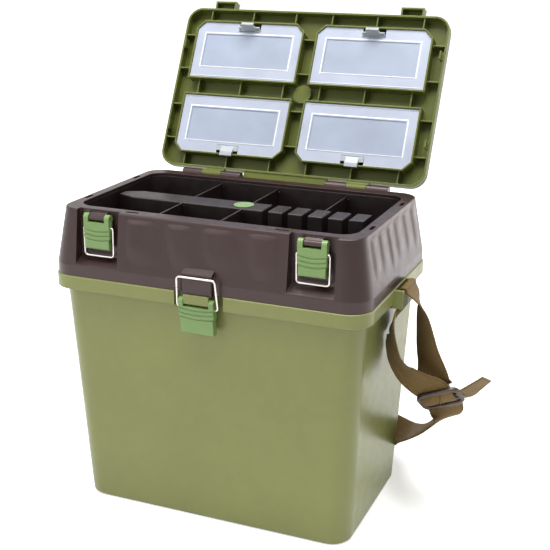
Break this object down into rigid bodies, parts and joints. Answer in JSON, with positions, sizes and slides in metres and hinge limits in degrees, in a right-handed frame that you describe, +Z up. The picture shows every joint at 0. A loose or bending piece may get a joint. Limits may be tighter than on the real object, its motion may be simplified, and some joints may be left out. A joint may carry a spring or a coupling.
{
  "type": "fishing seat box",
  "caption": "Two-tier fishing seat box: deep tapered tub, hinged upper tray housing, hinged lid with covered pockets, draw latches and a shoulder strap.",
  "frame": {"origin": "centre of the tub's flat underside", "axes": "+X to the right of somebody who faces the latches, +Y to the rear, +Z up"},
  "size_m": [0.5414, 0.3787, 0.5806],
  "materials": {
    "tub_green": "moulded satin, olive green",
    "lid_green": "moulded satin, deeper olive green",
    "housing_brown": "moulded satin, dark grey brown",
    "tray_black": "moulded satin, near black",
    "divider_black": "moulded satin, near black",
    "badge_green": "plain satin disc",
    "latch_green": "moulded satin, lighter green",
    "cover_frosted": "frosted translucent",
    "clip_frosted": "frosted translucent",
    "bail_wire": "bright drawn wire",
    "pin_steel": "plain steel pin",
    "strap_webbing": "woven webbing, olive brown",
    "buckle_plastic": "dark moulded plastic"
  },
  "bodies": {
    "tub": {"lower_tub": "tub_green", "centre_latch_pin": "pin_steel", "rear_hinge_pins": "pin_steel", "shoulder_strap": "strap_webbing", "strap_buckle": "buckle_plastic"},
    "housing": {"upper_housing": "housing_brown", "tray_insert": "tray_black", "divider_rear_1": "divider_black", "divider_rear_2": "divider_black", "divider_rear_3": "divider_black", "divider_front_1": "divider_black", "divider_front_2": "divider_black", "spine_badge": "badge_green", "lid_latch_pins": "pin_steel", "lid_hinge_pins": "pin_steel"},
    "lid": {"lid_shell": "lid_green"},
    "cover_front_left": {"cover_front_left": "cover_frosted"},
    "clip_front_left": {"clip_front_left": "clip_frosted"},
    "cover_rear_left": {"cover_rear_left": "cover_frosted"},
    "clip_rear_left": {"clip_rear_left": "clip_frosted"},
    "cover_front_right": {"cover_front_right": "cover_frosted"},
    "clip_front_right": {"clip_front_right": "clip_frosted"},
    "cover_rear_right": {"cover_rear_right": "cover_frosted"},
    "clip_rear_right": {"clip_rear_right": "clip_frosted"},
    "lever_left": {"lever_left": "latch_green"},
    "bail_left": {"bail_left": "bail_wire"},
    "lever_right": {"lever_right": "latch_green"},
    "bail_right": {"bail_right": "bail_wire"},
    "lever_centre": {"lever_centre": "latch_green"},
    "bail_centre": {"bail_centre": "bail_wire"}
  },
  "joints": [
    {"name": "housing_tilt", "type": "hinge", "parent": "tub", "child": "housing", "pos_m": [0, 0.129, 0.2915], "axis": [-1, 0, 0], "range_deg": [0, 90]},
    {"name": "lid_hinge", "type": "hinge", "parent": "housing", "child": "lid", "pos_m": [0, 0.1216, 0.367], "axis": [-1, 0, 0], "range_deg": [-117.14, 0]},
    {"name": "cover_front_left_hinge", "type": "hinge", "parent": "lid", "child": "cover_front_left", "pos_m": [-0.0865, 0.1851, 0.48627], "axis": [1, 0, 0], "range_deg": [0, 80]},
    {"name": "clip_front_left_hinge", "type": "hinge", "parent": "cover_front_left", "child": "clip_front_left", "pos_m": [-0.0865, 0.21485, 0.54507], "axis": [1, 0, 0], "range_deg": [-60, 35]},
    {"name": "cover_rear_left_hinge", "type": "hinge", "parent": "lid", "child": "cover_rear_left", "pos_m": [-0.0865, 0.17187, 0.46046], "axis": [-1, 0, 0], "range_deg": [0, 80]},
    {"name": "clip_rear_left_hinge", "type": "hinge", "parent": "cover_rear_left", "child": "clip_rear_left", "pos_m": [-0.0865, 0.1415, 0.40198], "axis": [-1, 0, 0], "range_deg": [0, 95]},
    {"name": "cover_front_right_hinge", "type": "hinge", "parent": "lid", "child": "cover_front_right", "pos_m": [0.0865, 0.1851, 0.48627], "axis": [1, 0, 0], "range_deg": [0, 80]},
    {"name": "clip_front_right_hinge", "type": "hinge", "parent": "cover_front_right", "child": "clip_front_right", "pos_m": [0.0865, 0.21485, 0.54507], "axis": [1, 0, 0], "range_deg": [-60, 35]},
    {"name": "cover_rear_right_hinge", "type": "hinge", "parent": "lid", "child": "cover_rear_right", "pos_m": [0.0865, 0.17187, 0.46046], "axis": [-1, 0, 0], "range_deg": [0, 80]},
    {"name": "clip_rear_right_hinge", "type": "hinge", "parent": "cover_rear_right", "child": "clip_rear_right", "pos_m": [0.0865, 0.1415, 0.40198], "axis": [-1, 0, 0], "range_deg": [0, 95]},
    {"name": "lever_left_pivot", "type": "hinge", "parent": "housing", "child": "lever_left", "pos_m": [-0.1305, -0.1135, 0.362], "axis": [-1, 0, 0], "range_deg": [0, 150]},
    {"name": "bail_left_swing", "type": "hinge", "parent": "lever_left", "child": "bail_left", "pos_m": [-0.1305, -0.1135, 0.351], "axis": [1, 0, 0], "range_deg": [-180, 0]},
    {"name": "lever_right_pivot", "type": "hinge", "parent": "housing", "child": "lever_right", "pos_m": [0.1305, -0.1135, 0.362], "axis": [-1, 0, 0], "range_deg": [0, 150]},
    {"name": "bail_right_swing", "type": "hinge", "parent": "lever_right", "child": "bail_right", "pos_m": [0.1305, -0.1135, 0.351], "axis": [1, 0, 0], "range_deg": [-180, 0]},
    {"name": "lever_centre_pivot", "type": "hinge", "parent": "tub", "child": "lever_centre", "pos_m": [0, -0.127, 0.283], "axis": [-1, 0, 0], "range_deg": [0, 95]},
    {"name": "bail_centre_swing", "type": "hinge", "parent": "lever_centre", "child": "bail_centre", "pos_m": [0, -0.12624, 0.27574], "axis": [1, 0, 0], "range_deg": [0, 114]}
  ],
  "couplings": [
    {"joint": "bail_centre_swing", "follows": "lever_centre_pivot", "ratio": 1.2}
  ]
}
